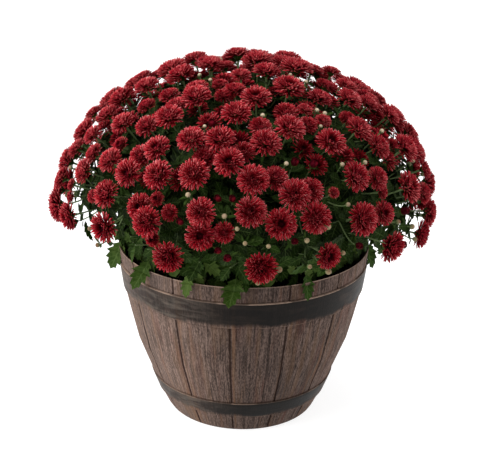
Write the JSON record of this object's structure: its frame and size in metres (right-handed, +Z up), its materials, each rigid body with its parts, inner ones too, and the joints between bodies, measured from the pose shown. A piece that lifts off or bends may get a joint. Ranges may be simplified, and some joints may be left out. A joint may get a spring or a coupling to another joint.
{
  "type": "potted chrysanthemum",
  "caption": "Domed pot chrysanthemum with dark red double blooms on leafy branching stems, in a tapered barrel-style planter with staves and two raised bands.",
  "frame": {"origin": "centre of the planter's flat underside", "axes": "+Z up along the planter's axis, -Y towards the front that the bloom plan is drawn from"},
  "size_m": [0.4921, 0.493, 0.4763],
  "materials": {
    "planter": "matte, moulded grain",
    "soil": "crumbly",
    "leaf": "matte leaf",
    "petal": "soft petal"
  },
  "bodies": {
    "root": {"planter": "planter", "soil": "soil", "leafy_stem_01": "leaf", "leafy_stem_02": "leaf", "leafy_stem_03": "leaf", "leafy_stem_04": "leaf", "leafy_stem_05": "leaf", "leafy_stem_06": "leaf", "leafy_stem_07": "leaf", "leafy_stem_08": "leaf", "leafy_stem_09": "leaf", "leafy_stem_10": "leaf", "leafy_stem_11": "leaf", "leafy_stem_12": "leaf", "bloom_spray_01": "petal", "bloom_spray_02": "petal", "bloom_spray_03": "petal", "bloom_spray_04": "petal", "bloom_spray_05": "petal", "bloom_spray_06": "petal", "bloom_spray_07": "petal", "bloom_spray_08": "petal", "bloom_spray_09": "petal", "bloom_spray_10": "petal", "bloom_spray_11": "petal", "bloom_spray_12": "petal", "bloom_spray_13": "petal", "bloom_spray_14": "petal", "bloom_spray_15": "petal", "bloom_spray_16": "petal", "bloom_spray_17": "petal", "bloom_spray_18": "petal", "bloom_spray_19": "petal", "bloom_spray_20": "petal", "bloom_spray_21": "petal", "bloom_spray_22": "petal", "bloom_spray_23": "petal", "bloom_spray_24": "petal", "bloom_spray_25": "petal", "bloom_spray_26": "petal", "bloom_spray_27": "petal", "bloom_spray_28": "petal", "bloom_spray_29": "petal", "bloom_spray_30": "petal", "bloom_spray_31": "petal", "bloom_spray_32": "petal", "bloom_spray_33": "petal", "bloom_spray_34": "petal", "bloom_spray_35": "petal", "bloom_spray_36": "petal", "bloom_spray_37": "petal", "bloom_spray_38": "petal", "bloom_spray_39": "petal", "bloom_spray_40": "petal", "bloom_spray_41": "petal", "bloom_spray_42": "petal", "bloom_spray_43": "petal", "bloom_spray_44": "petal", "bloom_spray_45": "petal"}
  },
  "joints": []
}
